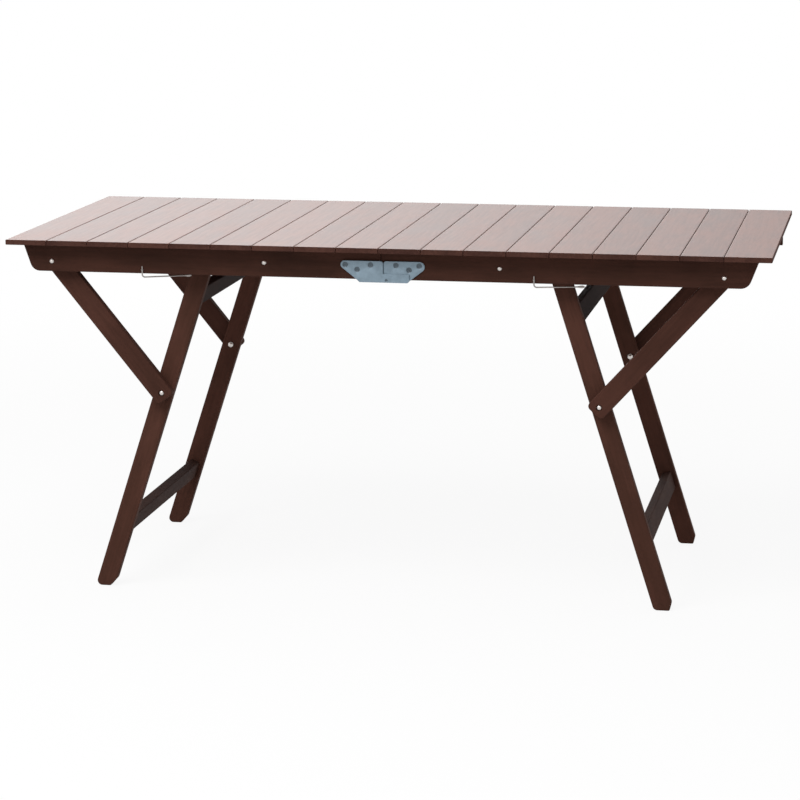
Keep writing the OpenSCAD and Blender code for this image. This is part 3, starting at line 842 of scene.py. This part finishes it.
# The apron's bolts ride the top, at the brace's pivot and the guide block. The leg's bolts ride the braces.
def makeBolts():
    for half in halves:
        high, low = joints[half + "_brace_swing"], joints[half + "_leg_swing"]
        guideLow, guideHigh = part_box(half + "_guide_blocks")
        apronLow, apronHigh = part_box(half + "_front_apron")
        guide = ((guideLow[0] + guideHigh[0]) / 2, (apronLow[2] + apronHigh[2]) / 2)
        apronOut = cadSpan(half + "_front_apron")[1]
        braceIn, braceOut = cadSpan(half + "_front_brace")
        legIn, legOut = cadSpan(half + "_front_leg")
        upper, lower = Shells(), Shells()
        for side in rows.values():
            boltHead(upper, (high[0], side * apronOut, high[2]), side, bolt["head"])
            boltHead(upper, (guide[0], side * apronOut, guide[1]), side, bolt["head"])
            washer(upper, (high[0], side * braceOut, high[2]), side)
            nutFoot = braceIn + bolt["clear"] + bolt["nutRise"]
            hexNut(upper, (high[0], side * nutFoot, high[2]), -side)
            headFoot = braceOut - bolt["rise"] - bolt["clear"]
            boltHead(lower, (low[0], side * headFoot, low[2]), side, bolt["legHead"])
            washer(lower, (low[0], side * legOut, low[2]), side)
            capNut(lower, (low[0], side * (legIn - bolt["clear"]), low[2]), -side)
        for shells, kind, body in ((upper, "_apron_bolts", "_top"), (lower, "_leg_bolts", "_braces")):
            name = half + kind
            makePiece(name + ".turned", shells, finishes["bolt"], half + body, [name])


makeBolts()
print("bolts made")


catch = {
    "wire": .0013, "reach": .098, "bend": .0055,  # radius of the wire, length of the arm, radius of the elbow
    "points": (8, 8, 25),                         # down the apron, round the elbow and along the arm
    "tip": .014, "tipBlend": .006,                # length of the hammered tip, and of the way into it
    "tipWide": .0026, "tipThick": .0009,
    "tipEnd": .001,                               # the solid's points this near its furthest one are its tip
    "ends": .55,                                  # the end rings are this share of the wire
    "staple": .0008, "stapleSlack": .0001, "stapleGrip": .004, "stapleSteps": 13,
}


# The wire runs down the apron, round the elbow on a quarter circle, and out along the arm. The second result
# is how far out each point of it lies.
def catchPath(at, top, elbow, arm):
    bend, (down, around, along) = catch["bend"], catch["points"]
    quarter = np.linspace(0, math.pi / 2, around + 1)[1:]
    out = np.r_[np.zeros(down), bend * (1 - np.cos(quarter)),
                np.linspace(bend, catch["reach"], along + 1)[1:]]
    high = np.r_[np.linspace(top, elbow + bend, down), elbow + bend * (1 - np.sin(quarter)),
                 np.full(along, elbow)]
    return np.stack([at[0] + out * arm[0], at[1] + out * arm[1], high], 1), out


# The wire points at the mean of the solid's furthest points. Near its tip it goes over to a hammered section
# by a smooth step, and its two end rings are drawn in.
def catchWire(shells, name):
    pivot, points = joints[name + "_swing"], cadPoints(name)
    reach = np.linalg.norm(points[:, :2] - pivot[:2], axis=1)
    tip = points[reach > reach.max() - catch["tipEnd"], :2].mean(0)
    arm = (tip - pivot[:2]) / np.linalg.norm(tip - pivot[:2])
    path, out = catchPath(pivot, points[:, 2].max(), pivot[2], arm)
    flat = np.clip((out - catch["reach"] + catch["tip"]) / catch["tipBlend"], 0, 1)
    flat = flat * flat * (3 - 2 * flat)
    ends = np.ones(len(path))
    ends[[0, -1]] = catch["ends"]
    thick = (catch["wire"] * (1 - flat) + catch["tipThick"] * flat) * ends
    wide = (catch["wire"] * (1 - flat) + catch["tipWide"] * flat) * ends
    tube(shells, path, thick, wide, (-arm[1], arm[0], 0))


# A staple: a half circle round the wire, from the apron and back into it, halfway up the wire on the wood.
def catchStaple(shells, name, apron, side):
    pivot = joints[name + "_swing"]
    ring = catch["wire"] + catch["stapleSlack"] + catch["staple"]
    turn = np.linspace(0, math.pi, catch["stapleSteps"])
    root = side * (cadSpan(apron)[1] - catch["stapleGrip"])
    x = pivot[0] + ring * np.r_[1, np.cos(turn), -1]
    y = np.r_[root, pivot[1] + side * ring * np.sin(turn), root]
    z = np.full(len(x), (cadPoints(name)[:, 2].max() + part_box(apron)[0][2]) / 2)
    size = np.full(len(x), catch["staple"])
    tube(shells, np.stack([x, y, z], 1), size, size, (0, 0, 1))


# Each half has a wire at the front and one at the back, and its staples are one piece.
def makeCatches():
    for half in halves:
        staples = Shells()
        for row, side in rows.items():
            name = f"{half}_{row}_catch"
            shells = Shells()
            catchWire(shells, name)
            makePiece(name + ".wire", shells, finishes["wire"], name + "_wire", [name])
            catchStaple(staples, name, f"{half}_{row}_apron", side)
        name = half + "_catch_staples"
        makePiece(name + ".hoops", staples, finishes["wire"], half + "_top", [name])


makeCatches()
print("catches made")
